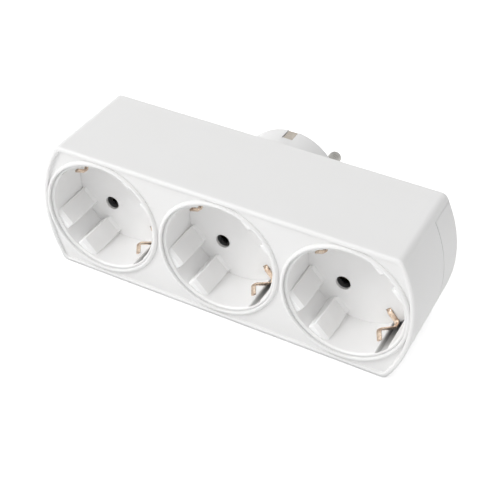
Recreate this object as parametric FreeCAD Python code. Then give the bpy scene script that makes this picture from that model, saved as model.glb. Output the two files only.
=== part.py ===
import FreeCAD, Part
import math
import os

# A three-way socket adapter: three round recessed sockets in a row, turned on the row,
# in a white two-shell case with an earthed round-pin plug on its back.
# All sizes are in millimetres. While it is built, x runs along the row, y runs from the
# front face to the back, and z is up from the sockets' common axis plane.

# Row and case
SOCKET_COUNT = 3
WELL_GAP = 1.7
SIDE_GAP = 0.2
END_GAP = 0.3
END_BULGE = 6.8
WALL = 2.4
FRONT_WALL = 3.0
BACK_WALL = 2.2
REAR_ROOM = 3.9
CORNER_RADIUS = 2.8
CORNER_INSET_SHARE = 0.5
CORNER_RADIUS_LEAST = 0.4
EDGE_RADIUS = 0.9
BACK_EDGE_RADIUS = 0.6
BEAD_WIDTH = 1.7
BEAD_SOFT_TOP = 0.5
BEAD_SOFT_FOOT = 0.2
FACE_RECESS = 1.0
COVER_SIDE_DEPTH = 13.5
SEAM_GAP = 0.3
COVER_CLEARANCE = 0.1

# Raised collar round each socket
COLLAR_CREST = 0.45
COLLAR_SLOPE = 0.95
COLLAR_SHOULDER_OUT = 0.6
COLLAR_SHOULDER_DOWN = 0.22

# Socket well
WELL_RADIUS = 19.6
WELL_WALL = 1.0
WELL_DEPTH = 17.5
WELL_FLOOR = 1.7
WELL_RIM_DROP = 1.0
WELL_RIM_CHAMFER = 0.5
WELL_FIT = 0.05
FLANGE_LIP = 0.8
FLANGE_THICKNESS = 1.4
SOCKET_TURN = 45.0
PIN_SPACING = 19.0
PIN_ENTRY = 0.2
SHROUD_WALL = 1.4
SHROUD_LENGTH = 2.0
SHROUD_RELIEF = 0.6
PIN_HOLE_LENGTH = 1.1

# Guide lugs of the well
LUG_GAP = 6.2
LUG_WIDTH = 7.2
LUG_FACE = 15.7
LUG_TOP = 2.2
LUG_LEAD = 6.6
LUG_LEAD_DRAFT = 0.6
LUG_CHAMFER = 1.1
LUG_FOOT = 1.0
LUG_EDGE_RADIUS = 0.4

# Earth clip of the well, a bent strip, with its places given inwards of the wall and above the floor
CLIP_WIDTH = 1.9
CLIP_THICKNESS = 0.8
CLIP_OFFSET = 1.0
CLIP_BEND = 1.3
CLIP_TIP_INSET = 1.9
CLIP_TIP_HEIGHT = 12.8
CLIP_NOSE_INSET = 4.2
CLIP_NOSE_HEIGHT = 9.8
CLIP_HEEL_OUTSET = 0.3
CLIP_HEEL_HEIGHT = 3.3
CLIP_FOOT_SPREAD = 0.2
CLIP_TAIL_INSET = 4.8
CLIP_TAIL_OUT = 0.7
CLIP_CLEARANCE = 0.1
CLIP_WINDOW_WIDTH = 5.8
CLIP_WINDOW_TOP = 1.3
CLIP_WINDOW_INSET = 1.0
CLIP_POCKET_DEPTH = 0.4
CLIP_POCKET_WALL = 0.9

# Earth plate behind the wells
EARTH_THICKNESS = 0.8
EARTH_TAIL_MARGIN = 1.8
EARTH_STRIP_WIDTH = 5.2
EARTH_END = 3.2
EARTH_LINK_WIDTH = 5.0
EARTH_TAB_WIDTH = 5.2
EARTH_NOTCH_GAP = 0.3

# Pin contacts and busbars
CONTACT_FIT = 0.05
CONTACT_THICKNESS = 0.7
CONTACT_REACH = 3.2
CONTACT_BACK = 3.7
CONTACT_BEND = 0.8
CONTACT_START = 1.4
CONTACT_DEPTH = 10.0
BAR_THICKNESS = 0.8
BAR_SETBACK = 1.0
BAR_END = 3.6
BAR_LUG_WIDTH = 4.0
BAR_LUG_SIDE = 3.6
BAR_LUG_HALF = 2.6
BAR_LUG_TAB = 1.8

# Plug on the back
PLUG_CLEARANCE = 1.2
PLUG_WALL = 2.0
PLUG_END_WALL = 2.5
PLUG_EDGE_RADIUS = 1.0
GUIDE_CLEARANCE = 0.3
PIN_RADIUS = 2.4
PIN_LENGTH = 19.0
PIN_TIP_RADIUS = 1.9
PIN_ROOT_LIP = 0.2
PIN_ROOT_PROUD = 0.3
PIN_FIT = 0.05
PIN_FLANGE_LIP = 1.2
PIN_FLANGE_THICKNESS = 1.5
PIN_NECK_RADIUS = 1.4
PIN_RIVET_RADIUS = 2.1
PIN_RIVET_THICKNESS = 0.7

# Earth strips of the plug
PLUG_EARTH_WIDTH = 3.4
PLUG_EARTH_THICKNESS = 1.0
PLUG_EARTH_INSET = 0.5
PLUG_EARTH_BEND = 1.2
PLUG_EARTH_FOOT = 4.0
PLUG_EARTH_SETBACK = 0.6
PLUG_EARTH_FIT = 0.1
PLUG_NOTCH_SIDE = 0.3
PLUG_NOTCH_LENGTH = 6.2

# Screws and posts of the rear cover
SCREW_RADIUS = 1.45
SCREW_LENGTH = 11.0
SCREW_HEAD_RADIUS = 2.8
SCREW_HEAD_DEPTH = 1.6
SCREW_FIT = 0.05
SCREW_SLOT_WIDTH = 0.7
SCREW_SLOT_DEPTH = 0.8
SCREW_SLOT_REACH = 1.7
BOSS_WALL = 2.2
BOSS_SINK = 0.3
BOSS_HOLE_EXTRA = 1.0
POST_RADIUS = 1.6
POST_SIDE = 6.0

# How far joined forms of one piece run into each other, how far cutters run past,
# and how near two places are taken as the same
MERGE = 0.3
PAST = 1.0
SAME_PLACE = 1e-4

# Places that follow from the sizes above
INSERT_RADIUS = WELL_RADIUS + WELL_WALL
FLANGE_RADIUS = INSERT_RADIUS + FLANGE_LIP
COLLAR_BORE = INSERT_RADIUS + WELL_FIT
PITCH = 2 * FLANGE_RADIUS + WELL_GAP
SOCKET_X = [(i - (SOCKET_COUNT - 1) / 2) * PITCH for i in range(SOCKET_COUNT)]
SOCKET_SIDES = ["left", "middle", "right"]
INNER_HALF_HEIGHT = FLANGE_RADIUS + SIDE_GAP
HALF_HEIGHT = INNER_HALF_HEIGHT + WALL
COVER_HALF_HEIGHT = INNER_HALF_HEIGHT - COVER_CLEARANCE
HALF_LENGTH = SOCKET_X[-1] + INSERT_RADIUS + END_GAP + WALL
END_RADIUS = (HALF_HEIGHT ** 2 + END_BULGE ** 2) / (2 * END_BULGE)
END_CENTRE = HALF_LENGTH - END_RADIUS
PIN_REACH = PIN_SPACING / 2
PIN_HOLE_RADIUS = PIN_RADIUS + PIN_ENTRY
PIN_ROOT_RADIUS = PIN_RADIUS + PIN_ROOT_LIP
PIN_HOLE_END = WELL_DEPTH + PIN_HOLE_LENGTH
CLIP_POCKET_RADIUS = INSERT_RADIUS + CLIP_POCKET_DEPTH
SHROUD_RADIUS = PIN_HOLE_RADIUS + SHROUD_WALL
TURN = math.radians(SOCKET_TURN)
CONTACT_X = PIN_REACH * math.cos(TURN)
CONTACT_Z = PIN_REACH * math.sin(TURN)
CONTACT_HALF_GAP = PIN_RADIUS + CONTACT_FIT
LEAF_OUTER = CONTACT_Z + CONTACT_HALF_GAP + CONTACT_THICKNESS
WELL_BACK = WELL_DEPTH + WELL_FLOOR
EARTH_BACK = WELL_BACK + EARTH_THICKNESS
CONTACT_FRONT = WELL_BACK + SHROUD_LENGTH + CONTACT_START
BAR_FRONT = CONTACT_FRONT + BAR_SETBACK
BAR_BACK = CONTACT_FRONT + CONTACT_DEPTH - BAR_SETBACK
BAR_LUG_BACK = BAR_BACK + BAR_LUG_TAB
BAR_LUG_FRONT = BAR_LUG_BACK - BAR_THICKNESS
BAR_LUG_X = PIN_REACH + BAR_LUG_SIDE
COVER_INNER = BAR_LUG_BACK + REAR_ROOM
BODY_DEPTH = COVER_INNER + BACK_WALL
SEAM_DEPTH = BODY_DEPTH - COVER_SIDE_DEPTH
PLUG_FACE = BODY_DEPTH + WELL_DEPTH
PLUG_RADIUS = WELL_RADIUS - PLUG_CLEARANCE
PLUG_GUIDE_FACE = LUG_FACE - GUIDE_CLEARANCE
PLUG_EARTH_FACE = PLUG_RADIUS - PLUG_EARTH_INSET
TOTAL_DEPTH = PLUG_FACE + PIN_LENGTH
CLIP_TAIL_RADIUS = WELL_RADIUS - CLIP_TAIL_INSET
CLIP_TAIL_X = CLIP_TAIL_RADIUS * math.sin(TURN) - CLIP_OFFSET * math.cos(TURN)
CLIP_TAIL_Z = CLIP_TAIL_RADIUS * math.cos(TURN) + CLIP_OFFSET * math.sin(TURN)
EARTH_STRIP_INNER = CLIP_TAIL_Z - EARTH_TAIL_MARGIN
EARTH_STRIP_OUTER = EARTH_STRIP_INNER + EARTH_STRIP_WIDTH
BOSS_RADIUS = SCREW_RADIUS + SCREW_FIT + BOSS_WALL
SCREW_X = PITCH / 2
SCREW_Z = INNER_HALF_HEIGHT - BOSS_RADIUS + BOSS_SINK
POST_Z = (EARTH_STRIP_OUTER + WELL_RADIUS) / 2
TO_FRAME = FreeCAD.Vector(0, -TOTAL_DEPTH / 2, HALF_HEIGHT)
Y_AXIS = FreeCAD.Vector(0, 1, 0)
ORIGIN = FreeCAD.Vector(0, 0, 0)


def vec(x, y, z):
    return FreeCAD.Vector(x, y, z)


def box(x0, x1, y0, y1, z0, z1):
    return Part.makeBox(x1 - x0, y1 - y0, z1 - z0, vec(x0, y0, z0))


def rod(radius, x, z, y0, y1):
    """A cylinder along the depth, from y0 to y1."""
    return Part.makeCylinder(radius, y1 - y0, vec(x, y0, z), Y_AXIS)


def fuse_all(shapes):
    return shapes[0].multiFuse(shapes[1:]).removeSplitter()


def turned(shape, x):
    """A copy turned with the sockets about the depth axis and moved to the socket at x."""
    result = shape.copy()
    result.rotate(ORIGIN, Y_AXIS, -SOCKET_TURN)
    result.translate(vec(x, 0, 0))
    return result


def half_turn(shape):
    """A copy turned by half a turn about the middle socket's axis."""
    result = shape.copy()
    result.rotate(ORIGIN, Y_AXIS, 180)
    return result


def side_prism(points, z0, width):
    """A closed profile of (x, depth) points drawn out along z from z0."""
    wire = Part.makePolygon([vec(x, y, z0) for x, y in points + points[:1]])
    return Part.Face(wire).extrude(vec(0, 0, width))


def revolve_profile(points):
    """Turns a closed profile of (radius, depth) points about the depth axis."""
    wire = Part.makePolygon([vec(r, y, 0) for r, y in points + points[:1]])
    return Part.Face(wire).revolve(ORIGIN, Y_AXIS, 360)


def outline_prism(inset, y0, y1):
    """The case outline, drawn in by an inset, as a prism: flat top and bottom, bowed ends."""
    z = HALF_HEIGHT - inset
    radius = END_RADIUS - inset
    x = END_CENTRE + math.sqrt(radius ** 2 - z ** 2)
    top = Part.LineSegment(vec(-x, y0, z), vec(x, y0, z)).toShape()
    right = Part.Arc(vec(x, y0, z), vec(END_CENTRE + radius, y0, 0), vec(x, y0, -z)).toShape()
    bottom = Part.LineSegment(vec(x, y0, -z), vec(-x, y0, -z)).toShape()
    left = Part.Arc(vec(-x, y0, -z), vec(-END_CENTRE - radius, y0, 0), vec(-x, y0, z)).toShape()
    prism = Part.Face(Part.Wire([top, right, bottom, left])).extrude(vec(0, y1 - y0, 0))
    corners = [e for e in prism.Edges if abs(e.tangentAt(e.FirstParameter).y) > 0.99]
    corner = max(CORNER_RADIUS - inset * CORNER_INSET_SHARE, CORNER_RADIUS_LEAST)
    return prism.makeFillet(corner, corners)


def rim_edges(shape, y):
    """The edges of a shape that lie wholly in the plane at depth y."""
    edges = []
    for edge in shape.Edges:
        reach = edge.BoundBox
        if max(abs(reach.YMin - y), abs(reach.YMax - y)) < SAME_PLACE:
            edges.append(edge)
    return edges


def rounded_path(points, radius):
    """A path of straight runs through the points, with an arc of the given radius at each bend."""
    edges = []
    start = points[0]
    for before, corner, after in zip(points, points[1:], points[2:]):
        back = (before - corner).normalize()
        ahead = (after - corner).normalize()
        half = back.getAngle(ahead) / 2
        cut = radius / math.tan(half)
        middle = (back + ahead).normalize()
        first = corner + back * cut
        last = corner + ahead * cut
        crown = corner + middle * (radius / math.sin(half) - radius)
        edges.append(Part.LineSegment(start, first).toShape())
        edges.append(Part.Arc(first, crown, last).toShape())
        start = last
    edges.append(Part.LineSegment(start, points[-1]).toShape())
    return Part.Wire(edges)


def bent_strip(points, bend, width, thickness, across):
    """A strip of sheet metal bent along a flat path, its width lying along the given direction."""
    path = rounded_path(points, bend)
    along = (points[1] - points[0]).normalize()
    side = across * (width / 2)
    face_way = along.cross(across).normalize() * (thickness / 2)
    corners = [side + face_way, face_way - side, side * -1 - face_way, side - face_way]
    ring = [points[0] + c for c in corners]
    profile = Part.makePolygon(ring + ring[:1])
    return path.makePipeShell([profile], True, False)


def front_case():
    """The front shell's outer form: rounded at its corners and round its front edge."""
    case = outline_prism(0, 0, BODY_DEPTH)
    case = case.makeFillet(EDGE_RADIUS, rim_edges(case, 0))
    return case.makeFillet(BACK_EDGE_RADIUS, rim_edges(case, BODY_DEPTH))


def softened_bead(shell, y, radius):
    """The shell with the inner edge of its bead at depth y rounded."""
    within = outline_prism((EDGE_RADIUS + BEAD_WIDTH) / 2, -PAST, FACE_RECESS + PAST)
    edges = []
    for edge in rim_edges(shell, y):
        middle = edge.valueAt((edge.FirstParameter + edge.LastParameter) / 2)
        if within.isInside(middle, SAME_PLACE, True):
            edges.append(edge)
    return shell.makeFillet(radius, edges)


def collar():
    """A raised ring with a rounded crest round a socket's hole, level with the case's bead."""
    crest_radius = COLLAR_BORE + COLLAR_CREST
    foot_radius = crest_radius + COLLAR_SLOPE
    lift = COLLAR_CREST * (1 - math.sqrt(0.5))
    inner = Part.Arc(
        vec(COLLAR_BORE, COLLAR_CREST, 0), vec(COLLAR_BORE + lift, lift, 0), vec(crest_radius, 0, 0)
    ).toShape()
    outer = Part.Arc(
        vec(crest_radius, 0, 0), vec(crest_radius + COLLAR_SHOULDER_OUT, COLLAR_SHOULDER_DOWN, 0),
        vec(foot_radius, FACE_RECESS, 0)
    ).toShape()
    foot = Part.makePolygon([
        vec(foot_radius, FACE_RECESS, 0), vec(foot_radius, FRONT_WALL, 0), vec(COLLAR_BORE, FRONT_WALL, 0),
        vec(COLLAR_BORE, COLLAR_CREST, 0)
    ])
    wire = Part.Wire([inner, outer] + foot.Edges)
    return Part.Face(wire).revolve(ORIGIN, Y_AXIS, 360)


def screw_places():
    return [(x, z) for x in (-SCREW_X, SCREW_X) for z in (-SCREW_Z, SCREW_Z)]


def front_housing():
    """Front shell: face, collars, top and bottom walls to the back, end walls to the seam."""
    shell = front_case().cut(outline_prism(WALL, FRONT_WALL, BODY_DEPTH + PAST))
    far = HALF_LENGTH + PAST
    rear_ends = box(-far, far, SEAM_DEPTH, BODY_DEPTH + PAST, -INNER_HALF_HEIGHT, INNER_HALF_HEIGHT)
    shell = shell.cut(rear_ends).cut(outline_prism(BEAD_WIDTH, -PAST, FACE_RECESS))
    shell = softened_bead(shell, 0, BEAD_SOFT_TOP)
    shell = softened_bead(shell, FACE_RECESS, BEAD_SOFT_FOOT)
    adds = []
    holes = []
    for x in SOCKET_X:
        ring = collar()
        ring.translate(vec(x, 0, 0))
        adds.append(ring)
        holes.append(rod(COLLAR_BORE, x, 0, -PAST, FRONT_WALL + PAST))
    for x, z in screw_places():
        adds.append(rod(BOSS_RADIUS, x, z, FRONT_WALL - MERGE, COVER_INNER))
        pilot_start = BODY_DEPTH - SCREW_LENGTH - BOSS_HOLE_EXTRA
        holes.append(rod(SCREW_RADIUS + SCREW_FIT, x, z, pilot_start, BODY_DEPTH))
    return fuse_all([shell] + adds).cut(holes)


def softened_lug(lug):
    """The lug with the side edges of its face, lead-in and front rounded."""
    edges = []
    for edge in lug.Edges:
        middle = edge.valueAt((edge.FirstParameter + edge.LastParameter) / 2)
        lengthwise = abs(edge.tangentAt(edge.FirstParameter).z) < SAME_PLACE
        if lengthwise and middle.x < WELL_RADIUS and middle.y < WELL_DEPTH:
            edges.append(edge)
    return lug.makeFillet(LUG_EDGE_RADIUS, edges)


def lug_pair():
    """The two guide lugs on the +x side of a well that is not yet turned."""
    lead_end = LUG_TOP + LUG_CHAMFER
    buried = WELL_DEPTH + MERGE
    profile = [
        (LUG_FACE, buried), (LUG_FACE, lead_end + LUG_LEAD), (LUG_FACE + LUG_LEAD_DRAFT, lead_end),
        (LUG_FACE + LUG_LEAD_DRAFT + LUG_CHAMFER, LUG_TOP), (INSERT_RADIUS, LUG_TOP),
        (INSERT_RADIUS, buried)
    ]
    foot = [
        (LUG_FACE + MERGE, WELL_DEPTH - LUG_FOOT - MERGE), (LUG_FACE - LUG_FOOT - MERGE, buried),
        (LUG_FACE + MERGE, buried)
    ]
    within = rod(WELL_RADIUS + MERGE, 0, 0, 0, WELL_BACK)
    lugs = []
    for side in (-1, 1):
        z0 = min(side * LUG_GAP / 2, side * (LUG_GAP / 2 + LUG_WIDTH))
        lug = softened_lug(side_prism(profile, z0, LUG_WIDTH))
        toe = side_prism(foot, z0 + LUG_EDGE_RADIUS, LUG_WIDTH - 2 * LUG_EDGE_RADIUS)
        lugs.append(lug.fuse(toe).common(within))
    return lugs


def well_blank():
    """The cup of a well: rim, wall, seating flange and floor."""
    return revolve_profile([
        (0, WELL_DEPTH), (WELL_RADIUS, WELL_DEPTH), (WELL_RADIUS, WELL_RIM_DROP + WELL_RIM_CHAMFER),
        (WELL_RADIUS + WELL_RIM_CHAMFER, WELL_RIM_DROP), (INSERT_RADIUS, WELL_RIM_DROP),
        (INSERT_RADIUS, FRONT_WALL), (FLANGE_RADIUS, FRONT_WALL),
        (FLANGE_RADIUS, FRONT_WALL + FLANGE_THICKNESS), (INSERT_RADIUS, FRONT_WALL + FLANGE_THICKNESS),
        (INSERT_RADIUS, WELL_BACK), (0, WELL_BACK)
    ])


def clip_pocket():
    """The closed housing behind the window on the -z side, in which the clip's heel moves."""
    half = CLIP_WINDOW_WIDTH / 2 + CLIP_POCKET_WALL
    start = FRONT_WALL + FLANGE_THICKNESS - MERGE
    housing = box(-half, half, start, WELL_BACK, -CLIP_POCKET_RADIUS - CLIP_POCKET_WALL, 0)
    return housing.cut(rod(WELL_RADIUS + MERGE, 0, 0, 0, WELL_BACK + PAST))


def clip_cuts():
    """The window in the wall and the slot in the floor for the clip on the -z side."""
    half = CLIP_WINDOW_WIDTH / 2
    inner = CLIP_WINDOW_INSET - WELL_RADIUS
    window = box(-half, half, CLIP_WINDOW_TOP, WELL_DEPTH, -CLIP_POCKET_RADIUS, inner)
    side = CLIP_WIDTH / 2 + CLIP_CLEARANCE
    reach = CLIP_THICKNESS / 2 + CLIP_CLEARANCE
    x0 = -CLIP_OFFSET - side
    x1 = -CLIP_OFFSET + side
    z0 = -CLIP_TAIL_RADIUS - reach - CLIP_BEND
    z1 = -CLIP_TAIL_RADIUS + reach
    return [window, box(x0, x1, WELL_DEPTH - PAST, EARTH_BACK + PAST, z0, z1)]


def socket_well():
    """A well that is not yet turned: pin holes along x, earth clips along z."""
    pairs = lug_pair()
    pocket = clip_pocket()
    adds = pairs + [half_turn(p) for p in pairs] + [pocket, half_turn(pocket)]
    body = fuse_all([well_blank()] + adds)
    shroud_back = WELL_BACK + SHROUD_LENGTH
    shrouds = [rod(SHROUD_RADIUS, s * PIN_REACH, 0, WELL_BACK - MERGE, shroud_back) for s in (-1, 1)]
    body = fuse_all([body] + shrouds)
    cuts = clip_cuts()
    cuts += [half_turn(c) for c in cuts]
    for x in (-PIN_REACH, PIN_REACH):
        cuts.append(rod(PIN_HOLE_RADIUS, x, 0, WELL_DEPTH - PAST, shroud_back + PAST))
        cuts.append(rod(PIN_HOLE_RADIUS + SHROUD_RELIEF, x, 0, PIN_HOLE_END, shroud_back + PAST))
    return body.cut(cuts)


def placed_well(well, x):
    """A well turned and set in its place, its flange trimmed where it meets a bowed end wall."""
    room = outline_prism(WALL + WELL_FIT, 0, BODY_DEPTH)
    return turned(well, x).common(room)


def earth_clip():
    """The clip on the -z side: tail through the floor, foot, heel, sprung nose and lead-in tip."""
    foot_y = WELL_DEPTH - CLIP_THICKNESS / 2
    heel = WELL_RADIUS + CLIP_HEEL_OUTSET
    places = [
        (CLIP_TAIL_RADIUS, EARTH_BACK + CLIP_TAIL_OUT), (CLIP_TAIL_RADIUS, foot_y),
        (heel + CLIP_FOOT_SPREAD, foot_y), (heel, WELL_DEPTH - CLIP_HEEL_HEIGHT),
        (WELL_RADIUS - CLIP_NOSE_INSET, WELL_DEPTH - CLIP_NOSE_HEIGHT),
        (WELL_RADIUS - CLIP_TIP_INSET, WELL_DEPTH - CLIP_TIP_HEIGHT)
    ]
    points = [vec(-CLIP_OFFSET, y, -r) for r, y in places]
    return bent_strip(points, CLIP_BEND, CLIP_WIDTH, CLIP_THICKNESS, vec(1, 0, 0))


def earth_plate():
    """One stamped plate behind the wells: two long strips, links between them and plug tabs."""
    inner = EARTH_STRIP_INNER
    outer = EARTH_STRIP_OUTER
    x0 = SOCKET_X[0] - CLIP_TAIL_X - EARTH_END
    x1 = SOCKET_X[-1] - CLIP_TAIL_X + EARTH_END
    upper = box(x0, x1, WELL_BACK, EARTH_BACK, inner, outer)
    tab_half = EARTH_TAB_WIDTH / 2
    tab = box(-tab_half, tab_half, WELL_BACK, EARTH_BACK, inner, PLUG_EARTH_FACE)
    half = EARTH_LINK_WIDTH / 2
    links = [box(x - half, x + half, WELL_BACK, EARTH_BACK, -outer, outer) for x in (-SCREW_X, SCREW_X)]
    plate = fuse_all([upper, half_turn(upper), tab, half_turn(tab)] + links)
    cuts = [rod(BOSS_RADIUS + EARTH_NOTCH_GAP, x, z, 0, COVER_INNER) for x, z in screw_places()]
    notch = rod(SHROUD_RADIUS + EARTH_NOTCH_GAP, PIN_REACH, 0, 0, COVER_INNER)
    slot = clip_cuts()[1]
    for x in SOCKET_X:
        cuts += [turned(c, x) for c in (notch, half_turn(notch), slot, half_turn(slot))]
    return plate.cut(cuts)


def pin_contact(x):
    """A sprung U that grips a line pin of the socket at x, open towards +x."""
    leaf = CONTACT_Z + CONTACT_HALF_GAP + CONTACT_THICKNESS / 2
    lower = 2 * CONTACT_Z - leaf
    y = CONTACT_FRONT + CONTACT_DEPTH / 2
    centre = x + CONTACT_X
    points = [
        vec(centre + CONTACT_REACH, y, leaf), vec(centre - CONTACT_BACK, y, leaf),
        vec(centre - CONTACT_BACK, y, lower), vec(centre + CONTACT_REACH, y, lower)
    ]
    return bent_strip(points, CONTACT_BEND, CONTACT_DEPTH, CONTACT_THICKNESS, Y_AXIS)


def line_busbar():
    """The line bar, on edge over the line contacts, with a lug down to the plug's right pin."""
    z0 = LEAF_OUTER
    z1 = LEAF_OUTER + BAR_THICKNESS
    x0 = SOCKET_X[0] + CONTACT_X - BAR_END
    x1 = SOCKET_X[-1] + CONTACT_X + BAR_END
    lug_end = BAR_LUG_X + BAR_LUG_WIDTH
    bar = box(x0, x1, BAR_FRONT, BAR_BACK, z0, z1)
    tab = box(BAR_LUG_X, lug_end, BAR_BACK - MERGE, BAR_LUG_BACK, z0, z1)
    arm = box(BAR_LUG_X, lug_end, BAR_LUG_FRONT, BAR_LUG_BACK, -BAR_LUG_HALF, z1)
    eye = box(PIN_REACH - BAR_LUG_HALF, lug_end, BAR_LUG_FRONT, BAR_LUG_BACK, -BAR_LUG_HALF, BAR_LUG_HALF)
    hole = rod(PIN_NECK_RADIUS + PIN_FIT, PIN_REACH, 0, BAR_LUG_FRONT - PAST, BAR_LUG_BACK + PAST)
    return fuse_all([bar, tab, arm, eye]).cut(hole)


def plug_pin(x):
    """A solid round pin: rounded tip, wider root, flange inside the plug face, riveted neck."""
    flange_front = PLUG_FACE - PLUG_END_WALL
    tip = PLUG_FACE + PIN_LENGTH
    rivet_front = BAR_LUG_FRONT - PIN_RIVET_THICKNESS
    root = rod(PIN_ROOT_RADIUS, x, 0, BAR_LUG_BACK, PLUG_FACE + PIN_ROOT_PROUD)
    shank = rod(PIN_RADIUS, x, 0, PLUG_FACE, tip)
    shank = shank.makeFillet(PIN_TIP_RADIUS, rim_edges(shank, tip))
    flange = rod(PIN_RADIUS + PIN_FLANGE_LIP, x, 0, flange_front - PIN_FLANGE_THICKNESS, flange_front)
    neck = rod(PIN_NECK_RADIUS, x, 0, rivet_front, BAR_LUG_BACK + MERGE)
    rivet = rod(PIN_RIVET_RADIUS, x, 0, rivet_front, BAR_LUG_FRONT)
    return fuse_all([shank, root, flange, neck, rivet])


def plug_earth_contact():
    """The plug's upper earth strip: foot on the earth plate, straight run, tip in its notch."""
    z = PLUG_EARTH_FACE - PLUG_EARTH_THICKNESS / 2
    foot_y = EARTH_BACK + PLUG_EARTH_THICKNESS / 2
    tip_y = PLUG_FACE - PLUG_EARTH_SETBACK
    points = [vec(0, foot_y, z - PLUG_EARTH_FOOT), vec(0, foot_y, z), vec(0, tip_y, z)]
    return bent_strip(points, PLUG_EARTH_BEND, PLUG_EARTH_WIDTH, PLUG_EARTH_THICKNESS, vec(1, 0, 0))


def plug_outer():
    """The plug's outer form: a round body with two guide grooves on each side."""
    body = rod(PLUG_RADIUS, 0, 0, BODY_DEPTH - MERGE, PLUG_FACE)
    body = body.makeFillet(PLUG_EDGE_RADIUS, rim_edges(body, PLUG_FACE))
    far = PLUG_RADIUS + PAST
    z0 = LUG_GAP / 2 - GUIDE_CLEARANCE
    z1 = LUG_GAP / 2 + LUG_WIDTH + GUIDE_CLEARANCE
    grooves = [box(PLUG_GUIDE_FACE, far, BODY_DEPTH, PLUG_FACE + PAST, z0, z1)]
    grooves.append(box(PLUG_GUIDE_FACE, far, BODY_DEPTH, PLUG_FACE + PAST, -z1, -z0))
    return body.cut(grooves + [half_turn(g) for g in grooves])


def plug_inner():
    """The space inside the plug, open to the case, with walls kept behind grooves and strips."""
    end = PLUG_FACE - PLUG_END_WALL
    x = PLUG_GUIDE_FACE - PLUG_WALL
    z = PLUG_EARTH_FACE - PLUG_EARTH_THICKNESS - PLUG_EARTH_FIT - PLUG_WALL
    start = COVER_INNER - PAST
    return rod(PLUG_RADIUS - PLUG_WALL, 0, 0, start, end).common(box(-x, x, start, end, -z, z))


def plug_earth_cuts():
    """The channel for the upper earth strip and the notch that lays its tip open."""
    half = PLUG_EARTH_WIDTH / 2 + PLUG_EARTH_FIT
    z0 = PLUG_EARTH_FACE - PLUG_EARTH_THICKNESS - PLUG_EARTH_FIT
    z1 = PLUG_EARTH_FACE + PLUG_EARTH_FIT
    channel = box(-half, half, COVER_INNER - PAST, PLUG_FACE + PAST, z0, z1)
    wide = PLUG_EARTH_WIDTH / 2 + PLUG_NOTCH_SIDE
    start = PLUG_FACE - PLUG_NOTCH_LENGTH
    notch = box(-wide, wide, start, PLUG_FACE + PAST, z0, PLUG_RADIUS + PAST)
    return [channel, notch]


def screw_seat(x, z, extra):
    """The cone and shank of a countersunk screw, or of its hole when a clearance is given."""
    head = Part.makeCone(
        SCREW_RADIUS + extra, SCREW_HEAD_RADIUS + extra, SCREW_HEAD_DEPTH,
        vec(x, BODY_DEPTH - SCREW_HEAD_DEPTH, z), Y_AXIS
    )
    shank = rod(SCREW_RADIUS + extra, x, z, BODY_DEPTH - SCREW_LENGTH, BODY_DEPTH - SCREW_HEAD_DEPTH / 2)
    return fuse_all([head, shank])


def post_places():
    return [(x + s * POST_SIDE, s * POST_Z) for x in SOCKET_X for s in (-1, 1)]


def rear_cover():
    """Rear shell: back plate between the case walls, end walls to the seam, plug, and posts."""
    far = HALF_LENGTH + PAST
    slab = box(-far, far, 0, BODY_DEPTH + PAST, -COVER_HALF_HEIGHT, COVER_HALF_HEIGHT)
    case = outline_prism(0, SEAM_DEPTH + SEAM_GAP, BODY_DEPTH)
    case = case.makeFillet(BACK_EDGE_RADIUS, rim_edges(case, BODY_DEPTH))
    shell = case.cut(outline_prism(WALL, 0, COVER_INNER)).common(slab)
    posts = [rod(POST_RADIUS, x, z, WELL_BACK, COVER_INNER + MERGE) for x, z in post_places()]
    cover = fuse_all([shell, plug_outer()] + posts).cut(plug_inner())
    cuts = plug_earth_cuts()
    cuts += [half_turn(c) for c in cuts]
    for x in (-PIN_REACH, PIN_REACH):
        cuts.append(rod(PIN_ROOT_RADIUS + PIN_FIT, x, 0, COVER_INNER, PLUG_FACE + PAST))
    cuts += [screw_seat(x, z, SCREW_FIT) for x, z in screw_places()]
    return cover.cut(cuts)


def cover_screws():
    """Four countersunk cross-slot screws, as a group of separate solids."""
    screws = []
    for x, z in screw_places():
        reach = SCREW_SLOT_REACH
        half = SCREW_SLOT_WIDTH / 2
        y0 = BODY_DEPTH - SCREW_SLOT_DEPTH
        y1 = BODY_DEPTH + PAST
        slots = [box(x - reach, x + reach, y0, y1, z - half, z + half)]
        slots.append(box(x - half, x + half, y0, y1, z - reach, z + reach))
        screws.append(screw_seat(x, z, 0).cut(slots))
    return Part.makeCompound(screws)


def all_parts():
    parts = {"front_housing": front_housing(), "rear_cover": rear_cover()}
    well = socket_well()
    clip = earth_clip()
    contact = pin_contact(0)
    for side, x in zip(SOCKET_SIDES, SOCKET_X):
        parts["socket_well_" + side] = placed_well(well, x)
        parts["earth_clip_" + side + "_lower"] = turned(clip, x)
        parts["earth_clip_" + side + "_upper"] = turned(half_turn(clip), x)
        for name, piece in (("line", contact), ("neutral", half_turn(contact))):
            placed = piece.copy()
            placed.translate(vec(x, 0, 0))
            parts[name + "_contact_" + side] = placed
    parts["earth_plate"] = earth_plate()
    parts["line_busbar"] = line_busbar()
    parts["neutral_busbar"] = half_turn(line_busbar())
    parts["plug_pin_right"] = plug_pin(PIN_REACH)
    parts["plug_pin_left"] = plug_pin(-PIN_REACH)
    parts["plug_earth_contact_top"] = plug_earth_contact()
    parts["plug_earth_contact_bottom"] = half_turn(plug_earth_contact())
    parts["cover_screws"] = cover_screws()
    return parts


os.makedirs("parts", exist_ok=True)
for node, shape in all_parts().items():
    placed = shape.copy()
    placed.translate(TO_FRAME)
    placed.exportStep(os.path.join("parts", node + ".step"))
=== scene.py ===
import math

import bpy
from mathutils import Matrix, Vector


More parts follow.
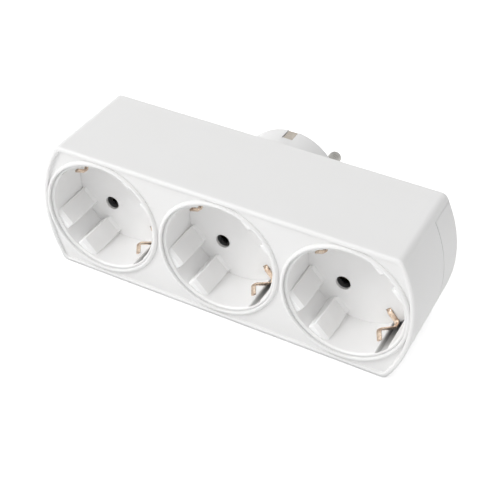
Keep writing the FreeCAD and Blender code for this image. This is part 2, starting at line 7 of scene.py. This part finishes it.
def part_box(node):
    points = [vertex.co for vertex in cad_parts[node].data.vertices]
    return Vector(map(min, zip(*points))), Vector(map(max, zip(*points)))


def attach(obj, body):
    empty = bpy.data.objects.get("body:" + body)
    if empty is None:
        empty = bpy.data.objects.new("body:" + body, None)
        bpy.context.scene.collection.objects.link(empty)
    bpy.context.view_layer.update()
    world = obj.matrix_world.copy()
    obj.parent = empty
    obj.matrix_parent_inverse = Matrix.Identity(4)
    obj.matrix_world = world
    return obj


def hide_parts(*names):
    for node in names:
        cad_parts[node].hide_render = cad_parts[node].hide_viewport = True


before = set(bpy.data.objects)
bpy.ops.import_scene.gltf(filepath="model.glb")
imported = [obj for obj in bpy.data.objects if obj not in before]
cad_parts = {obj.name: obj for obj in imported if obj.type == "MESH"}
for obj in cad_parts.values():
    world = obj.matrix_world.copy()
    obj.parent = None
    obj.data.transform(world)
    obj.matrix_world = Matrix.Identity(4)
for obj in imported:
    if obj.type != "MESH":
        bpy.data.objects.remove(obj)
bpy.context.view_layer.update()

bl_info = {
    "name": "Three-way socket adapter",
    "version": (1, 0, 0),
    "blender": (4, 5, 0),
    "location": "View3D > Sidebar > Adapter",
    "description": "Finishes the shell, wells, metal strips, pins and screws of a three-way socket adapter",
    "category": "Object",
}

MM = 0.001

# The three sockets of the row
SIDES = ("left", "middle", "right")

# Places taken from the solids, in metres
WELL_LOW, WELL_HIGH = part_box("socket_well_middle")
SHELL_LOW, SHELL_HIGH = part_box("front_housing")
FRONT_Y = SHELL_LOW.y
BACK_Y = SHELL_HIGH.y
AXIS_Z = (WELL_LOW.z + WELL_HIGH.z) / 2
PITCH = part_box("earth_clip_right_lower")[0].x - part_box("earth_clip_middle_lower")[0].x

# A well's sizes and its turn about the row's depth axis, as the solids have them
WELL_RADIUS = 19.6 * MM
WELL_DEPTH = 17.5 * MM
TURN = math.radians(45)


def linear(hex_colour):
    """The linear colour that a hex sRGB colour stands for."""
    digits = hex_colour.lstrip("#")
    values = [int(digits[i:i + 2], 16) / 255 for i in (0, 2, 4)]
    return [v / 12.92 if v <= 0.04045 else ((v + 0.055) / 1.055) ** 2.4 for v in values]


class CaseSettings(bpy.types.PropertyGroup):
    shell_colour: bpy.props.FloatVectorProperty(
        name="Shell colour", description="White of the front and rear shells",
        default=linear("#EEEEEE"), subtype="COLOR", min=0, max=1)
    well_colour: bpy.props.FloatVectorProperty(
        name="Well colour", description="White of the socket wells",
        default=linear("#F8F8F8"), subtype="COLOR", min=0, max=1)
    gloss_roughness: bpy.props.FloatProperty(
        name="Gloss roughness", description="Roughness of the moulded surface", default=0.42, min=0, max=1)
    grain_size: bpy.props.FloatProperty(
        name="Grain size", description="Size of the fine moulded grain",
        default=0.35 * MM, unit="LENGTH", min=0.00001)


class MetalSettings(bpy.types.PropertyGroup):
    strip_colour: bpy.props.FloatVectorProperty(
        name="Strip colour", description="Colour of the copper alloy strips",
        default=linear("#F4E0CB"), subtype="COLOR", min=0, max=1)
    plug_strip_colour: bpy.props.FloatVectorProperty(
        name="Plug strip colour", description="Colour of the plug's tinned earth strips",
        default=linear("#C4BCB2"), subtype="COLOR", min=0, max=1)
    pin_colour: bpy.props.FloatVectorProperty(
        name="Pin colour", description="Colour of the plated pins",
        default=linear("#A6A4A0"), subtype="COLOR", min=0, max=1)
    screw_colour: bpy.props.FloatVectorProperty(
        name="Screw colour", description="Colour of the zinc plated cover screws",
        default=linear("#B4B6BA"), subtype="COLOR", min=0, max=1)
    strip_width: bpy.props.FloatProperty(
        name="Clip width", description="Width of an earth clip's strip",
        default=1.9 * MM, unit="LENGTH", min=0.0001)
    strip_thickness: bpy.props.FloatProperty(
        name="Clip thickness", description="Thickness of an earth clip's strip",
        default=0.8 * MM, unit="LENGTH", min=0.0001)
    edge_rounding: bpy.props.FloatProperty(
        name="Edge rounding", description="Rounding of the strips' rolled edges",
        default=0.34 * MM, unit="LENGTH", min=0)


class StageSettings(bpy.types.PropertyGroup):
    azimuth: bpy.props.FloatProperty(
        name="Azimuth", description="Camera direction, to the right of the front",
        default=math.radians(27.23), subtype="ANGLE")
    elevation: bpy.props.FloatProperty(
        name="Elevation", description="Camera height angle", default=math.radians(36.756), subtype="ANGLE")
    roll: bpy.props.FloatProperty(
        name="Roll", description="Camera turn about its own axis",
        default=math.radians(1.473), subtype="ANGLE")
    place: bpy.props.FloatVectorProperty(
        name="Camera place", description="Where the camera stands",
        default=(0.13028, -0.28558, 0.25134), subtype="TRANSLATION", unit="LENGTH")
    lens: bpy.props.FloatProperty(
        name="Lens", description="Focal length in millimetres on a 36 mm sensor", default=80.196, min=1)
    shift: bpy.props.FloatVectorProperty(
        name="Shift", description="Framing shift of the photograph", size=2, default=(0.05, -0.07))
    key_power: bpy.props.FloatProperty(
        name="Key power", description="Power of the large soft lamp", default=15.0, min=0, unit="POWER")
    surround: bpy.props.FloatProperty(
        name="Surround", description="Strength of the even pale light from all round", default=0.53, min=0)
    lean: bpy.props.FloatVectorProperty(
        name="Lean", description="Direction and share by which the surround is brighter on one side",
        size=3, default=(-0.07, -0.3, 0.48))
    floor_colour: bpy.props.FloatVectorProperty(
        name="Floor colour", description="Colour of the plain floor",
        default=linear("#F4F4F4"), subtype="COLOR", min=0, max=1)


# Materials

def add(tree, kind, place, settings=None, **values):
    """Adds a node, sets its properties and its inputs, and returns it."""
    made = tree.nodes.new(kind)
    made.location = place
    for name, value in (settings or {}).items():
        setattr(made, name, value)
    for name, value in values.items():
        made.inputs[name.replace("_", " ")].default_value = value
    return made


def new_material(name):
    """A material without nodes, and its tree."""
    material = bpy.data.materials.new(name)
    material.use_nodes = True
    material.node_tree.nodes.clear()
    return material, material.node_tree


# Injection-moulded ABS, from a finely eroded mould: an even opaque white with soft, wide highlights.
# Melt flow leaves a barely seen mottling some 20 mm across, and patches of more and less gloss 6 mm
# across. A mould's own grain is some 0.05 mm, too fine to show, so it is drawn 0.35 mm wide instead.
# Light goes about 1 mm into the white plastic, which softens the bead, the rims and the lugs' edges.
MOTTLE_SIZE = 22 * MM
MOTTLE_TINT = (0.98, 0.975, 0.965)
FLOW_SIZE = 6 * MM
FLOW_SPREAD = (-0.03, 0.05)
GRAIN_STRENGTH = 0.25
GRAIN_DEPTH = 0.012 * MM
LIGHT_SHARE = 0.6
LIGHT_DEPTH = 1 * MM


def moulded_abs(name, colour, roughness, grain):
    """The moulded plastic in one colour."""
    material, tree = new_material(name)
    link = tree.links.new
    output = add(tree, "ShaderNodeOutputMaterial", (700, 0))
    shader = add(tree, "ShaderNodeBsdfPrincipled", (400, 0), IOR=1.5,
                 Subsurface_Weight=LIGHT_SHARE, Subsurface_Scale=LIGHT_DEPTH, Subsurface_Radius=(1, 1, 1))
    coords = add(tree, "ShaderNodeTexCoord", (-900, 0))
    cloud = add(tree, "ShaderNodeTexNoise", (-600, 200), Scale=1 / MOTTLE_SIZE, Detail=3.0, Roughness=0.5)
    tone = add(tree, "ShaderNodeMix", (-100, 200), {"data_type": "RGBA"})
    tone.inputs[6].default_value = (*colour, 1)
    tone.inputs[7].default_value = (*(part * tint for part, tint in zip(colour, MOTTLE_TINT)), 1)
    gloss = add(tree, "ShaderNodeMapRange", (-100, -60),
                To_Min=roughness + FLOW_SPREAD[0], To_Max=roughness + FLOW_SPREAD[1])
    flow = add(tree, "ShaderNodeTexNoise", (-600, -60), Scale=1 / FLOW_SIZE, Detail=4.0, Roughness=0.6)
    fine = add(tree, "ShaderNodeTexNoise", (-600, -320), Scale=1 / grain, Detail=2.0, Roughness=0.5)
    bump = add(tree, "ShaderNodeBump", (100, -320), Strength=GRAIN_STRENGTH, Distance=GRAIN_DEPTH)
    for noise in (cloud, flow, fine):
        link(coords.outputs["Object"], noise.inputs["Vector"])
    link(cloud.outputs["Fac"], tone.inputs[0])
    link(tone.outputs[2], shader.inputs["Base Color"])
    link(flow.outputs["Fac"], gloss.inputs["Value"])
    link(gloss.outputs["Result"], shader.inputs["Roughness"])
    link(fine.outputs["Fac"], bump.inputs["Height"])
    link(bump.outputs["Normal"], shader.inputs["Normal"])
    link(shader.outputs["BSDF"], output.inputs["Surface"])
    return material


# The photograph shows the clip pockets and the pin holes dark, and soft light alone leaves them pale.
# So a painted shade grows outside a well's round wall and with the depth behind the face, and in the pin
# holes behind the floor. It stands for the closed space and isn't a colour of the plastic.
POCKET_RADII = (WELL_RADIUS + 0.1 * MM, WELL_RADIUS + 0.9 * MM)
POCKET_DEPTHS = (FRONT_Y + 2 * MM, FRONT_Y + 15 * MM)
POCKET_LEAST = 0.25
FLOOR_Y = FRONT_Y + WELL_DEPTH
HOLE_DEPTHS = (FLOOR_Y + 1.1 * MM, FLOOR_Y + 2 * MM)
RECESS_SHADE = (0.17, 0.175, 0.18)


def shade_recesses(material):
    """Darkens a well's clip pockets outside its round wall and its pin holes behind the floor with painted
    shade.
    """
    tree = material.node_tree
    link = tree.links.new
    shader = next(node for node in tree.nodes if node.type == "BSDF_PRINCIPLED")
    plain = shader.inputs["Base Color"].links[0].from_socket
    coords = next(node for node in tree.nodes if node.type == "TEX_COORD")
    split = add(tree, "ShaderNodeSeparateXYZ", (-700, 800))
    across = add(tree, "ShaderNodeMath", (-500, 900), {"operation": "WRAP"})
    height = add(tree, "ShaderNodeMath", (-500, 700), {"operation": "SUBTRACT"})
    flat = add(tree, "ShaderNodeCombineXYZ", (-300, 800))
    reach = add(tree, "ShaderNodeVectorMath", (-100, 800), {"operation": "LENGTH"})
    outside = add(tree, "ShaderNodeMapRange", (100, 900), {"interpolation_type": "SMOOTHSTEP"})
    depth = add(tree, "ShaderNodeMapRange", (100, 600), To_Min=POCKET_LEAST, To_Max=1.0)
    pocket = add(tree, "ShaderNodeMath", (300, 800), {"operation": "MULTIPLY"})
    hole = add(tree, "ShaderNodeMapRange", (100, 1200), From_Min=HOLE_DEPTHS[0], From_Max=HOLE_DEPTHS[1])
    amount = add(tree, "ShaderNodeMath", (500, 900), {"operation": "MAXIMUM"})
    shaded = add(tree, "ShaderNodeMix", (200, 350), {"data_type": "RGBA", "blend_type": "MULTIPLY"})
    across.inputs[1].default_value = PITCH / 2
    across.inputs[2].default_value = -PITCH / 2
    height.inputs[1].default_value = AXIS_Z
    outside.inputs["From Min"].default_value, outside.inputs["From Max"].default_value = POCKET_RADII
    depth.inputs["From Min"].default_value, depth.inputs["From Max"].default_value = POCKET_DEPTHS
    shaded.inputs[7].default_value = (*RECESS_SHADE, 1)
    link(coords.outputs["Object"], split.inputs["Vector"])
    link(split.outputs["X"], across.inputs[0])
    link(split.outputs["Z"], height.inputs[0])
    link(across.outputs["Value"], flat.inputs["X"])
    link(height.outputs["Value"], flat.inputs["Y"])
    link(flat.outputs["Vector"], reach.inputs[0])
    link(reach.outputs["Value"], outside.inputs["Value"])
    link(split.outputs["Y"], depth.inputs["Value"])
    link(outside.outputs["Result"], pocket.inputs[0])
    link(depth.outputs["Result"], pocket.inputs[1])
    link(split.outputs["Y"], hole.inputs["Value"])
    link(pocket.outputs["Value"], amount.inputs[0])
    link(hole.outputs["Result"], amount.inputs[1])
    link(amount.outputs["Value"], shaded.inputs[0])
    link(plain, shaded.inputs[6])
    link(shaded.outputs[2], shader.inputs["Base Color"])


# Metals: the rolled phosphor bronze strip is a pale copper pink with long lines from the rollers and
# a thin brown film, the tinned brass strip is a dull grey with the same lines, the turned brass pin
# shows rings under its nickel, and the pressed steel screw is an even bluish zinc. Such lines are
# finer than 0.1 mm in real metal, and are drawn 0.35 mm apart, about one pixel, so that they show.
# The film lies in patches of about 2.4 mm.
LINE_SPACING = 0.35 * MM
LINE_STRENGTH = 0.3
LINE_DEPTH = 0.01 * MM
LINE_SPREAD = (-0.08, 0.12)
FILM_SIZE = 2.4 * MM
FILM_RANGE = (0.42, 0.75)

# For each metal: its film's colour, its roughness, the turn of the lines' pattern about Y, and by how
# much the lines are stretched along the turned axes
METALS = {
    "rolled_phosphor_bronze": (linear("#C0A08A"), 0.24, -TURN, (10, 10, 1)),
    "tinned_brass_strip": (linear("#B0A79C"), 0.3, 0, (1, 10, 10)),
    "nickel_plated_turned_brass": (linear("#92908C"), 0.28, 0, (10, 1, 10)),
    "zinc_plated_steel": (linear("#8B8D92"), 0.35, 0, (1, 1, 1)),
}


def worked_metal(name, colour):
    """One of the metals above, with its film, its lines and this colour of the bare metal."""
    dark, roughness, turn, stretch = METALS[name]
    material, tree = new_material(name)
    link = tree.links.new
    output = add(tree, "ShaderNodeOutputMaterial", (700, 0))
    shader = add(tree, "ShaderNodeBsdfPrincipled", (400, 0), Metallic=1.0)
    coords = add(tree, "ShaderNodeTexCoord", (-1100, 0))
    mapping = add(tree, "ShaderNodeMapping", (-880, -200), {"vector_type": "TEXTURE"},
                  Rotation=(0, turn, 0), Scale=stretch)
    film = add(tree, "ShaderNodeTexNoise", (-600, 200), Scale=1 / FILM_SIZE, Detail=4.0, Roughness=0.6)
    ramp = add(tree, "ShaderNodeMapRange", (-380, 200), From_Min=FILM_RANGE[0], From_Max=FILM_RANGE[1])
    tone = add(tree, "ShaderNodeMix", (-100, 200), {"data_type": "RGBA"})
    tone.inputs[6].default_value = (*colour, 1)
    tone.inputs[7].default_value = (*dark, 1)
    lines = add(tree, "ShaderNodeTexNoise", (-600, -200), Scale=1 / LINE_SPACING, Detail=3.0, Roughness=0.6)
    gloss = add(tree, "ShaderNodeMapRange", (-100, -60),
                To_Min=roughness + LINE_SPREAD[0], To_Max=roughness + LINE_SPREAD[1])
    bump = add(tree, "ShaderNodeBump", (100, -320), Strength=LINE_STRENGTH, Distance=LINE_DEPTH)
    link(coords.outputs["Object"], mapping.inputs["Vector"])
    link(coords.outputs["Object"], film.inputs["Vector"])
    link(mapping.outputs["Vector"], lines.inputs["Vector"])
    link(film.outputs["Fac"], ramp.inputs["Value"])
    link(ramp.outputs["Result"], tone.inputs[0])
    link(tone.outputs[2], shader.inputs["Base Color"])
    link(lines.outputs["Fac"], gloss.inputs["Value"])
    link(gloss.outputs["Result"], shader.inputs["Roughness"])
    link(lines.outputs["Fac"], bump.inputs["Height"])
    link(bump.outputs["Normal"], shader.inputs["Normal"])
    link(shader.outputs["BSDF"], output.inputs["Surface"])
    return material


# Shared steps

SHARP_ANGLE = math.radians(35)


def dress(node, material):
    """Gives a solid its finish."""
    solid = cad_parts[node]
    solid.data.materials.clear()
    solid.data.materials.append(material)


def finish_piece(piece, nodes, body="root"):
    """Puts a remade piece on its body and hides the nodes that it takes the place of."""
    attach(piece, body)
    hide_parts(*nodes)


def set_inputs(modifier, values):
    """Sets a Geometry Nodes modifier's inputs by the identifiers of the sockets with these names."""
    for item in modifier.node_group.interface.items_tree:
        if item.item_type == "SOCKET" and item.in_out == "INPUT" and item.name in values:
            modifier[item.identifier] = values[item.name]


def plain_mesh(name, source):
    """A new object with the evaluated mesh of a source, which is then removed."""
    bpy.context.view_layer.update()
    graph = bpy.context.evaluated_depsgraph_get()
    mesh = bpy.data.meshes.new_from_object(source.evaluated_get(graph))
    bpy.data.objects.remove(source)
    mesh.name = name
    piece = bpy.data.objects.new(name, mesh)
    bpy.context.scene.collection.objects.link(piece)
    for polygon in mesh.polygons:
        polygon.use_smooth = True
    mesh.set_sharp_from_angle(angle=SHARP_ANGLE)
    return piece


# Earth clips: the strip's middle line from its tail to its tip, as distances in millimetres from the
# well's axis and from the face, in a plane beside the axis

CLIP_PATH = ((14.8, 20.7), (14.8, 17.1), (20.1, 17.1), (19.9, 14.2), (15.4, 7.7), (17.7, 4.7))
CLIP_SIDE = -1.0 * MM
CLIP_BEND = 1.3 * MM
BEND_STEPS = 10
EDGE_STEPS = 4


def clip_tree(material):
    """Sweeps a rounded strip along a bent path and sets it in each well, twice, half a turn apart."""
    tree = bpy.data.node_groups.new("Earth clip strips", "GeometryNodeTree")
    face = tree.interface
    face.new_socket(name="Geometry", in_out="OUTPUT", socket_type="NodeSocketGeometry")
    face.new_socket(name="Path", in_out="INPUT", socket_type="NodeSocketGeometry")
    for name in ("Width", "Thickness", "Edge rounding", "Bend radius", "Pitch"):
        face.new_socket(name=name, in_out="INPUT", socket_type="NodeSocketFloat")
    link = tree.links.new
    enter = add(tree, "NodeGroupInput", (-1400, 0))
    leave = add(tree, "NodeGroupOutput", (1400, 0))
    curve = add(tree, "GeometryNodeMeshToCurve", (-1150, 200))
    upright = add(tree, "GeometryNodeSetCurveNormal", (-980, 200), {"mode": "Z_UP"})
    bend = add(tree, "GeometryNodeFilletCurve", (-800, 200), {"mode": "POLY"}, Count=BEND_STEPS)
    section = add(tree, "GeometryNodeCurvePrimitiveQuadrilateral", (-1150, -150))
    soften = add(tree, "GeometryNodeFilletCurve", (-980, -150), {"mode": "POLY"}, Count=EDGE_STEPS)
    sweep = add(tree, "GeometryNodeCurveToMesh", (-600, 100), Fill_Caps=True)
    lower = add(tree, "GeometryNodeTransform", (-350, 200), Rotation=(0, TURN, 0))
    upper = add(tree, "GeometryNodeTransform", (-350, -150), Rotation=(0, TURN - math.pi, 0))
    pair = add(tree, "GeometryNodeJoinGeometry", (-100, 100))
    combine = add(tree, "ShaderNodeCombineXYZ", (-350, -450))
    start = add(tree, "ShaderNodeVectorMath", (-100, -450), {"operation": "SCALE"}, Scale=-1.0)
    row = add(tree, "GeometryNodeMeshLine", (150, -250), {"mode": "OFFSET"}, Count=len(SIDES))
    spread = add(tree, "GeometryNodeInstanceOnPoints", (450, 100))
    real = add(tree, "GeometryNodeRealizeInstances", (750, 100))
    paint = add(tree, "GeometryNodeSetMaterial", (1050, 100), Material=material)
    link(enter.outputs["Path"], curve.inputs["Mesh"])
    link(curve.outputs["Curve"], upright.inputs["Curve"])
    link(upright.outputs["Curve"], bend.inputs["Curve"])
    link(enter.outputs["Bend radius"], bend.inputs["Radius"])
    link(enter.outputs["Thickness"], section.inputs["Width"])
    link(enter.outputs["Width"], section.inputs["Height"])
    link(section.outputs["Curve"], soften.inputs["Curve"])
    link(enter.outputs["Edge rounding"], soften.inputs["Radius"])
    link(bend.outputs["Curve"], sweep.inputs["Curve"])
    link(soften.outputs["Curve"], sweep.inputs["Profile Curve"])
    link(sweep.outputs["Mesh"], lower.inputs["Geometry"])
    link(sweep.outputs["Mesh"], upper.inputs["Geometry"])
    link(lower.outputs["Geometry"], pair.inputs["Geometry"])
    link(upper.outputs["Geometry"], pair.inputs["Geometry"])
    link(enter.outputs["Pitch"], combine.inputs["X"])
    link(combine.outputs["Vector"], start.inputs["Vector"])
    link(combine.outputs["Vector"], row.inputs["Offset"])
    link(start.outputs["Vector"], row.inputs["Start Location"])
    link(row.outputs["Mesh"], spread.inputs["Points"])
    link(pair.outputs["Geometry"], spread.inputs["Instance"])
    link(spread.outputs["Instances"], real.inputs["Geometry"])
    link(real.outputs["Geometry"], paint.inputs["Geometry"])
    link(paint.outputs["Geometry"], leave.inputs["Geometry"])
    return tree


def build_clips(settings, material):
    """The six earth clips as one piece."""
    mesh = bpy.data.meshes.new("clip_path")
    points = [(r * MM, y * MM, CLIP_SIDE) for r, y in CLIP_PATH]
    mesh.from_pydata(points, [(i, i + 1) for i in range(len(points) - 1)], [])
    source = bpy.data.objects.new("clip_path", mesh)
    bpy.context.scene.collection.objects.link(source)
    modifier = source.modifiers.new("Earth clip strips", "NODES")
    modifier.node_group = clip_tree(material)
    set_inputs(modifier, {
        "Width": settings.strip_width, "Thickness": settings.strip_thickness,
        "Edge rounding": settings.edge_rounding, "Bend radius": CLIP_BEND, "Pitch": PITCH,
    })
    piece = plain_mesh("earth_clips", source)
    piece.data.transform(Matrix.Translation((0, FRONT_Y, AXIS_Z)))
    nodes = [f"earth_clip_{side}_{end}" for side in SIDES for end in ("lower", "upper")]
    finish_piece(piece, nodes)
    return piece


# Stage: the values for the floor and the lamp were chosen by comparing the picture with the photograph

FLOOR_SIZE = 1.5
FLOOR_Z = -0.02 * MM
FLOOR_GLOW = 0.55
LAMP_SIZE = 0.8
LAMP_PLACE = (-1.14, -1.04, 1.22)
LAMP_TARGET = (0, 0, 0.02)
SENSOR_WIDTH = 36
VIEW_NEAR, VIEW_FAR = 0.01, 20

# Close round the case's foot the floor sends hardly any light onto the object, which draws the grey
# line along the lower edge. The foot of the bowed ends lies 4 mm inside their widest place. In Z the
# zone is a metre high, so that height doesn't count.
FLAG_DARK = 0.3 * MM
FLAG_END = 4.5 * MM
FLAG_GREY = 0.03
END_BOW = 4 * MM
ANY_HEIGHT = 1


def seen_or_mirrored(tree):
    """A value of 1 where the camera sees a surface directly, in a mirror or through glass."""
    path = add(tree, "ShaderNodeLightPath", (-400, 400))
    seen = add(tree, "ShaderNodeMath", (-150, 400), {"operation": "MAXIMUM"})
    also = add(tree, "ShaderNodeMath", (50, 400), {"operation": "MAXIMUM"})
    tree.links.new(path.outputs["Is Camera Ray"], seen.inputs[0])
    tree.links.new(path.outputs["Is Glossy Ray"], seen.inputs[1])
    tree.links.new(seen.outputs["Value"], also.inputs[0])
    tree.links.new(path.outputs["Is Transmission Ray"], also.inputs[1])
    return also.outputs["Value"]


def edge_flag(tree, colour):
    """The floor's colour for the light that it sends onto the object: dark close round the case."""
    link = tree.links.new
    coords = add(tree, "ShaderNodeTexCoord", (-1300, 700))
    spot = add(tree, "ShaderNodeVectorMath", (-1100, 700), {"operation": "SUBTRACT"})
    fold = add(tree, "ShaderNodeVectorMath", (-900, 700), {"operation": "ABSOLUTE"})
    beyond = add(tree, "ShaderNodeVectorMath", (-700, 700), {"operation": "SUBTRACT"})
    clamp = add(tree, "ShaderNodeVectorMath", (-500, 700), {"operation": "MAXIMUM"})
    reach = add(tree, "ShaderNodeVectorMath", (-300, 700), {"operation": "LENGTH"})
    fade = add(tree, "ShaderNodeMapRange", (-100, 700), From_Min=FLAG_DARK, From_Max=FLAG_END)
    tone = add(tree, "ShaderNodeMix", (100, 700), {"data_type": "RGBA"})
    spot.inputs[1].default_value = (0, (FRONT_Y + BACK_Y) / 2, 0)
    beyond.inputs[1].default_value = (SHELL_HIGH.x - END_BOW, (BACK_Y - FRONT_Y) / 2, ANY_HEIGHT)
    tone.inputs[6].default_value = (FLAG_GREY, FLAG_GREY, FLAG_GREY, 1)
    tone.inputs[7].default_value = (*colour, 1)
    link(coords.outputs["Object"], spot.inputs[0])
    link(spot.outputs["Vector"], fold.inputs[0])
    link(fold.outputs["Vector"], beyond.inputs[0])
    link(beyond.outputs["Vector"], clamp.inputs[0])
    link(clamp.outputs["Vector"], reach.inputs[0])
    link(reach.outputs["Value"], fade.inputs["Value"])
    link(fade.outputs["Result"], tone.inputs[0])
    return tone.outputs[2]


def build_floor(colour):
    """A wide plain floor that looks white to the camera and still takes the shadow."""
    mesh = bpy.data.meshes.new("floor")
    signs = ((-1, -1), (1, -1), (1, 1), (-1, 1))
    mesh.from_pydata([(x * FLOOR_SIZE, y * FLOOR_SIZE, FLOOR_Z) for x, y in signs], [], [(0, 1, 2, 3)])
    floor = bpy.data.objects.new("floor", mesh)
    bpy.context.scene.collection.objects.link(floor)
    material, tree = new_material("plain_floor")
    link = tree.links.new
    output = add(tree, "ShaderNodeOutputMaterial", (600, 0))
    paper = add(tree, "ShaderNodeBsdfDiffuse", (-200, 100), Color=(*colour, 1))
    mat = add(tree, "ShaderNodeBsdfDiffuse", (-200, 250))
    link(edge_flag(tree, colour), mat.inputs["Color"])
    glow = add(tree, "ShaderNodeEmission", (-200, -100), Color=(1, 1, 1, 1), Strength=FLOOR_GLOW)
    both = add(tree, "ShaderNodeAddShader", (50, 0))
    choose = add(tree, "ShaderNodeMixShader", (350, 0))
    link(seen_or_mirrored(tree), choose.inputs["Fac"])
    link(paper.outputs["BSDF"], both.inputs[0])
    link(glow.outputs["Emission"], both.inputs[1])
    link(mat.outputs["BSDF"], choose.inputs[1])
    link(both.outputs["Shader"], choose.inputs[2])
    link(choose.outputs["Shader"], output.inputs["Surface"])
    mesh.materials.append(material)


def soft_lamp(name, power, size, place, target):
    """A round soft lamp that faces a target."""
    data = bpy.data.lights.new(name, "AREA")
    data.shape = "DISK"
    data.size = size
    data.energy = power
    lamp = bpy.data.objects.new(name, data)
    bpy.context.scene.collection.objects.link(lamp)
    lamp.location = place
    lamp.rotation_mode = "QUATERNION"
    lamp.rotation_quaternion = (Vector(place) - Vector(target)).to_track_quat("Z", "Y")
    return lamp


def build_light(power, strength, lean):
    """One large soft lamp from the upper left, and a surround that is brighter on the side it leans to."""
    soft_lamp("key_lamp", power, LAMP_SIZE, LAMP_PLACE, LAMP_TARGET)
    world = bpy.data.worlds.new("pale_surround")
    bpy.context.scene.world = world
    world.use_nodes = True
    tree = world.node_tree
    tree.nodes.clear()
    link = tree.links.new
    output = add(tree, "ShaderNodeOutputWorld", (600, 0))
    coords = add(tree, "ShaderNodeTexCoord", (-900, 100))
    side = add(tree, "ShaderNodeVectorMath", (-700, 100), {"operation": "DOT_PRODUCT"})
    level = add(tree, "ShaderNodeMath", (-300, 100), {"operation": "MULTIPLY_ADD"})
    side.inputs[1].default_value = lean
    level.inputs[1].default_value = strength
    level.inputs[2].default_value = strength
    surround = add(tree, "ShaderNodeBackground", (50, 100), Color=(1, 1, 1, 1))
    link(coords.outputs["Generated"], side.inputs[0])
    link(side.outputs["Value"], level.inputs[0])
    link(level.outputs["Value"], surround.inputs["Strength"])
    white = add(tree, "ShaderNodeBackground", (50, -100), Color=(1, 1, 1, 1), Strength=1.0)
    choose = add(tree, "ShaderNodeMixShader", (350, 0))
    link(seen_or_mirrored(tree), choose.inputs["Fac"])
    link(surround.outputs["Background"], choose.inputs[1])
    link(white.outputs["Background"], choose.inputs[2])
    link(choose.outputs["Shader"], output.inputs["Surface"])


def build_camera(settings):
    """The camera at the photograph's angle."""
    data = bpy.data.cameras.new("camera")
    camera = bpy.data.objects.new("camera", data)
    bpy.context.scene.collection.objects.link(camera)
    a, e = settings.azimuth, settings.elevation
    ahead = Vector((-math.sin(a) * math.cos(e), math.cos(a) * math.cos(e), -math.sin(e)))
    level = Vector((math.cos(a), math.sin(a), 0))
    up = level.cross(ahead)
    c, s = math.cos(settings.roll), math.sin(settings.roll)
    right = c * level + s * up
    top = c * up - s * level
    turn = Matrix((right, top, -ahead)).transposed()
    camera.matrix_world = Matrix.Translation(settings.place) @ turn.to_4x4()
    data.sensor_width = SENSOR_WIDTH
    data.lens = settings.lens
    data.shift_x, data.shift_y = settings.shift
    data.clip_start = VIEW_NEAR
    data.clip_end = VIEW_FAR
    bpy.context.scene.camera = camera
    bpy.context.scene.view_settings.view_transform = "Standard"


# Operators

class ADAPTER_OT_case(bpy.types.Operator):
    """Give the shells and the socket wells their moulded finish"""
    bl_idname = "adapter.case"
    bl_label = "Finish the case"

    def execute(self, context):
        settings = context.scene.adapter_case
        grain = settings.grain_size
        shell = moulded_abs("moulded_abs_shell", settings.shell_colour, settings.gloss_roughness, grain)
        well = moulded_abs("moulded_abs_well", settings.well_colour, settings.gloss_roughness, grain)
        shade_recesses(well)
        for node in ("front_housing", "rear_cover"):
            dress(node, shell)
        for side in SIDES:
            dress("socket_well_" + side, well)
        return {"FINISHED"}


class ADAPTER_OT_clips(bpy.types.Operator):
    """Make the earth clips of the three wells and finish the other strips"""
    bl_idname = "adapter.clips"
    bl_label = "Make the earth clips"

    def execute(self, context):
        settings = context.scene.adapter_metal
        copper = worked_metal("rolled_phosphor_bronze", settings.strip_colour)
        tinned = worked_metal("tinned_brass_strip", settings.plug_strip_colour)
        build_clips(settings, copper)
        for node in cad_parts:
            if "contact" in node or "busbar" in node or node == "earth_plate":
                dress(node, tinned if node.startswith("plug") else copper)
        return {"FINISHED"}


class ADAPTER_OT_pins(bpy.types.Operator):
    """Give the plug pins and the screws their metal finish"""
    bl_idname = "adapter.pins"
    bl_label = "Finish the pins and screws"

    def execute(self, context):
        settings = context.scene.adapter_metal
        nickel = worked_metal("nickel_plated_turned_brass", settings.pin_colour)
        zinc = worked_metal("zinc_plated_steel", settings.screw_colour)
        for node in ("plug_pin_left", "plug_pin_right"):
            dress(node, nickel)
        dress("cover_screws", zinc)
        return {"FINISHED"}


class ADAPTER_OT_stage(bpy.types.Operator):
    """Set up the floor, the soft light and the camera"""
    bl_idname = "adapter.stage"
    bl_label = "Set up the stage"

    def execute(self, context):
        settings = context.scene.adapter_stage
        build_floor(settings.floor_colour)
        build_light(settings.key_power, settings.surround, settings.lean)
        build_camera(settings)
        return {"FINISHED"}


class ADAPTER_PT_panel(bpy.types.Panel):
    """Lists the steps that finish the adapter"""
    bl_idname = "ADAPTER_PT_panel"
    bl_label = "Socket adapter"
    bl_space_type = "VIEW_3D"
    bl_region_type = "UI"
    bl_category = "Adapter"

    def draw(self, context):
        column = self.layout.column()
        for operator in OPERATORS:
            column.operator(operator.bl_idname)


OPERATORS = (ADAPTER_OT_case, ADAPTER_OT_clips, ADAPTER_OT_pins, ADAPTER_OT_stage)
CLASSES = (CaseSettings, MetalSettings, StageSettings, *OPERATORS, ADAPTER_PT_panel)


def register():
    for one in CLASSES:
        bpy.utils.register_class(one)
    bpy.types.Scene.adapter_case = bpy.props.PointerProperty(type=CaseSettings)
    bpy.types.Scene.adapter_metal = bpy.props.PointerProperty(type=MetalSettings)
    bpy.types.Scene.adapter_stage = bpy.props.PointerProperty(type=StageSettings)


def unregister():
    del bpy.types.Scene.adapter_stage
    del bpy.types.Scene.adapter_metal
    del bpy.types.Scene.adapter_case
    for one in reversed(CLASSES):
        bpy.utils.unregister_class(one)


def main():
    """Runs every step."""
    register()
    bpy.ops.adapter.case()
    bpy.ops.adapter.clips()
    bpy.ops.adapter.pins()
    bpy.ops.adapter.stage()


if __name__ == "__main__":
    main()
